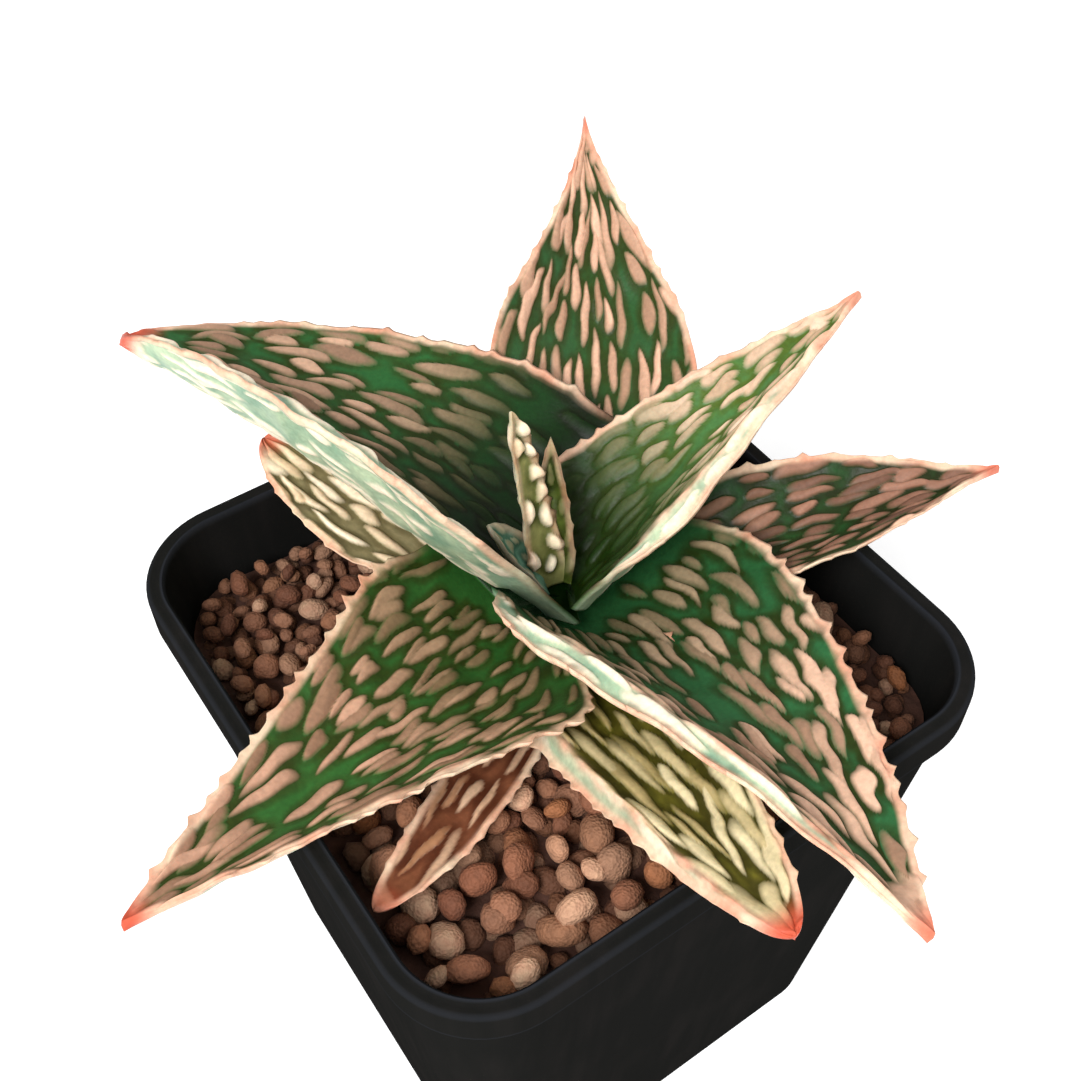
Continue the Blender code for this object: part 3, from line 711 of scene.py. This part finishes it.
def leafPoints(spec, skin, index, grid, bump, teeth):
    # the blade is cupped across, thin at its margins and thick along its keel
    along, across, under = grid
    centre, side, lift = leafFrame(spec, along[:, 0])
    fold = np.radians(spec["fold"] + spec["open"] * along[:, :1])
    half = halfWidth(spec, along, across)
    # a leaf whose base lies under another's margin tucks its own margin down there
    tuck = np.where(across < 0, *skin.get("tuck", (0, 0))) * smoothStep(0.54, 0.4, along) * across * across
    cup = half * np.abs(across) ** rosette["cupPower"] * np.sin(fold) - lipDrop(spec, along, across) - tuck
    thin = rosette["edgeThick"]
    edge = min(thin, 0.5 * spec["thick"]) * (1 - 0.5 * along) / 2
    keel = (spec["thick"] - thin) * (1 - 0.7 * along) * np.minimum(1.0, 3 * half / spec["width"] + 0.3)
    # gentle waves keep the blade from being a perfect sheet
    down, aside = along * spec["length"], across * half
    wave = (0.22 * np.sin(down * 0.42 + index) * np.sin(aside * 0.5 + 2 * index)
            + 0.12 * np.sin(down * 0.9 + aside * 0.7))
    wave = wave * smoothStep(0, 0.1, along) * smoothStep(1.0, 0.85, along)
    height = np.where(under > 0, -(edge + keel * (1 - across * across)) + wave - bump * skin["rise"] * 0.5,
                      edge + wave + bump * skin["rise"])
    outward = (side[:, None] * (np.sign(across) * np.cos(fold))[..., None]
               + lift[:, None] * np.sin(fold)[..., None])
    points = (centre[:, None] + side[:, None] * (half * across * np.cos(fold))[..., None]
              + lift[:, None] * (cup + height)[..., None] + outward * teeth[..., None])
    # the margins of the base turn back to clasp the stem
    clasp = np.where(across < 0, *skin.get("clasp", (0, 0))) * np.abs(across) ** 1.6
    clasp = clasp * smoothStep(0.26, 0.0, along)
    return points - heading(spec, 0 * along) * clasp[..., None]


def closeEnds(spec, points):
    # one flat list of points and its faces, with a fan of triangles over the base and over the tip
    rings, around = points.shape[:2]
    flat = points.reshape(-1, 3)
    base = flat[:around].mean(0)
    tip = flat[-around:].mean(0) + heading(spec, np.array(1.0)) * 0.15
    faces = ringFaces(rings, around)
    first, last, start = rings * around, rings * around + 1, (rings - 1) * around
    faces += [[(j + 1) % around, j, first] for j in range(around)]
    faces += [[start + j, start + (j + 1) % around, last] for j in range(around)]
    return np.vstack([flat, base, tip]), faces


def leafMasks(spec, skin, index, grid, bump, tone):
    # pattern holds the bumps, the horny lines and the pale sides; where holds the tip, the painted shade
    # towards the heart and the tone, which off the bumps is the painted shade of their gaps
    along, across, under = grid
    half = halfWidth(spec, along, across)
    lip = lipDrop(spec, along, across)
    down, aside = along * spec["length"], across * half
    upper = 1 - under
    # the outside of a lip is as pale as the underside, and its ridge and its margin are horny
    deepest = np.where(across < 0, *spec["lip"])
    turned = smoothStep(0.03, 0.16, lip / max(max(spec["lip"]), 1.0)) * upper
    ridge = np.exp(-((np.abs(across) - rosette["lipStart"] - 0.03) * half / 0.55) ** 2)
    ridge = ridge * (deepest > 0) * upper
    ridge = ridge * smoothStep(0.1, 0.3, along) * (0.45 + 0.55 * np.sin(down * 0.9 + index) ** 2)
    margin = smoothStep(half - 1.1, half - 0.35, np.abs(aside)) * 0.9 * smoothStep(0.03, 0.22, along)
    line = np.maximum(margin * skin.get("edge", 1.0), ridge)
    tip = smoothStep(spec["length"] - 4.2, spec["length"] - 0.6, down) * skin["tip"]
    # painted shade on the upper side, towards the heart of the rosette
    heart = smoothStep(32, 5, down) * skin["heart"] * (1 - turned) * upper
    opaque = np.ones_like(along)
    masks = {"pattern": np.stack([bump, line, np.maximum(under, turned), opaque], -1).reshape(-1, 4),
             "where": np.stack([tip, heart, tone, opaque], -1).reshape(-1, 4)}
    # the two points that close the ends look like their neighbours
    return {key: np.vstack([mask, mask[:1], mask[-1:]]) for key, mask in masks.items()}


def makeLeaf(name, index, material):
    spec, skin = leaves[name], skins[name]
    dice = np.random.default_rng(leafMesh["seed"] + index)
    grid = along, across, under = leafGrid(spec)
    upper, lower = scatterBumps(spec, skin, dice, False), scatterBumps(spec, skin, dice, True)
    highTop, toneTop = bumpField(spec, upper, along, across)
    highLow, toneLow = bumpField(spec, lower, along, across)
    fade = smoothStep(1.0, 0.9, np.abs(across)) * smoothStep(0.0, 0.04, along)
    bump = np.where(under > 0, highLow, highTop) * fade
    tone = np.where(under > 0, toneLow, toneTop)
    teeth = np.where(across > 0, toothLine(spec, skin, dice, along), toothLine(spec, skin, dice, along))
    bare = skin.get("bare", 0.1)
    teeth = teeth * smoothStep(0.93, 1.0, np.abs(across)) * smoothStep(bare, bare + 0.1, along)
    points, faces = closeEnds(spec, leafPoints(spec, skin, index, grid, bump, teeth))
    masks = leafMasks(spec, skin, index, grid, bump, tone)
    piece = makePiece(pieceName(name), points, faces, material, masks)
    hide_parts(name)
    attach(piece, "root")
    return len(faces)


def pieceName(node):
    # leaf_left_high becomes leafLeftHigh
    words = node.split("_")
    return words[0] + "".join(word.capitalize() for word in words[1:])


# the crown of the stem ends below the youngest leaves, and their bases swell it in folds
stem = dict(radius=4.45, sunk=3.5, dome=0.8, sides=48, folds=5, foldDepth=0.06)


def youngGreen():
    # the crown between the leaf bases: smooth and waxy; its dark olive is painted shade, as it always lies in
    # shade
    material, tree, shader = newMaterial("crownGreen")
    cloud = noise(tree, objectPlace(tree), 500.0, 3.0)
    tree.links.new(mixColour(tree, cloud, "#161f08", "#34400f"), shader.inputs["Base Color"])
    shader.inputs["Roughness"].default_value = 0.5
    return material


def makeStem():
    low, high = (np.array(corner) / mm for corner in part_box("stem"))
    radius, sides, crown = stem["radius"], stem["sides"], high[2] - stem["sunk"]
    profile = [(low[2], radius), (low[2] + 8, radius), (high[2] - 12, radius)]
    profile += [(crown - radius * stem["dome"] * (1 - math.sin(a)), radius * math.cos(a))
                for a in np.linspace(0, math.pi / 2 - 0.15, 8)]
    angle = np.arange(sides) * 2 * math.pi / sides
    rings = []
    for height, wide in profile:
        deep = stem["foldDepth"] * np.sin(stem["folds"] * angle + height)
        fold = wide * (1 + deep * smoothStep(high[2] - 12, high[2] - 6, height))
        rings.append(np.stack([rosette["x"] + fold * np.cos(angle), rosette["y"] + fold * np.sin(angle),
                               np.full(sides, height)], 1))
    points = np.concatenate(rings + [[[rosette["x"], rosette["y"], crown]]])
    faces = ringFaces(len(rings), sides) + [list(range(sides))[::-1]]
    start, last = (len(rings) - 1) * sides, len(rings) * sides
    faces += [[start + i, start + (i + 1) % sides, last] for i in range(sides)]
    piece = makePiece("crown", points, faces, youngGreen())
    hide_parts("stem")
    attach(piece, "root")


# the camera's angles are in degrees; its distance and target and the floor's reach are in millimetres
studio = dict(azimuth=-34.07, elevation=48.86, roll=-0.62, distance=172.6, target=(5.8, 10.1, 86.0),
              lens=44.74, floorReach=3000.0, floorGlow=0.3, roomLight=0.6, white=(1, 1, 1, 1))

# the lamps point at the plant; places and sizes are in metres
lamps = {
    "keyLamp": dict(place=(-0.55, -0.3, 0.7), size=0.35, power=9.0),
    "fillLamp": dict(place=(0.5, -0.5, 0.6), size=0.6, power=1.5),
}
lampTarget = (0.0, 0.0, 0.09)


def makeFloor():
    # matt white card
    material, tree, shader = newMaterial("whiteCard")
    shader.inputs["Base Color"].default_value = linearColour("#f7f7f7")
    shader.inputs["Roughness"].default_value = 0.9
    shader.inputs["Emission Color"].default_value = studio["white"]
    shader.inputs["Emission Strength"].default_value = studio["floorGlow"]
    reach = studio["floorReach"]
    corners = np.array([[-reach, -reach, 0], [reach, -reach, 0], [reach, reach, 0], [-reach, reach, 0]])
    makePiece("floor", corners, [[0, 1, 2, 3]], material, smooth=False)


def makeLight():
    world = bpy.data.worlds.new("softRoom")
    bpy.context.scene.world = world
    world.use_nodes = True
    background = world.node_tree.nodes["Background"]
    background.inputs["Color"].default_value = studio["white"]
    background.inputs["Strength"].default_value = studio["roomLight"]
    for name, spec in lamps.items():
        lamp = bpy.data.lights.new(name, "AREA")
        lamp.size = spec["size"]
        lamp.energy = spec["power"]
        holder = bpy.data.objects.new(name, lamp)
        bpy.context.scene.collection.objects.link(holder)
        holder.location = spec["place"]
        direction = mathutils.Vector(lampTarget) - mathutils.Vector(spec["place"])
        holder.rotation_euler = direction.to_track_quat("-Z", "Y").to_euler()


def makeCamera():
    azimuth, elevation, roll = (math.radians(studio[key]) for key in ("azimuth", "elevation", "roll"))
    back = np.array([math.sin(azimuth) * math.cos(elevation), -math.cos(azimuth) * math.cos(elevation),
                     math.sin(elevation)])
    level = np.cross([0, 0, 1], back)
    level /= np.linalg.norm(level)
    upright = np.cross(back, level)
    right = level * math.cos(roll) + upright * math.sin(roll)
    up = upright * math.cos(roll) - level * math.sin(roll)
    camera = bpy.data.cameras.new("camera")
    camera.lens = studio["lens"]
    camera.sensor_width = 36.0
    camera.clip_start = 0.01
    holder = bpy.data.objects.new("camera", camera)
    bpy.context.scene.collection.objects.link(holder)
    matrix = mathutils.Matrix(np.stack([right, up, back], 1).tolist()).to_4x4()
    place = (np.array(studio["target"]) + back * studio["distance"]) * mm
    matrix.translation = mathutils.Vector(place.tolist())
    holder.matrix_world = matrix
    bpy.context.scene.camera = holder
    bpy.context.scene.view_settings.view_transform = "Standard"


makePot(blackPlastic())
print("pot done")
makeGranules(bakedClay())
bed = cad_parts["granule_bed"]
bed.data.materials.clear()
bed.data.materials.append(shadedBed())
print("granules done")
total = 0
for order, leafName in enumerate(leaves):
    total += makeLeaf(leafName, order, leafSkin(pieceName(leafName) + "Skin", skins[leafName]))
makeStem()
print("leaves done, faces", total)
makeFloor()
makeLight()
makeCamera()
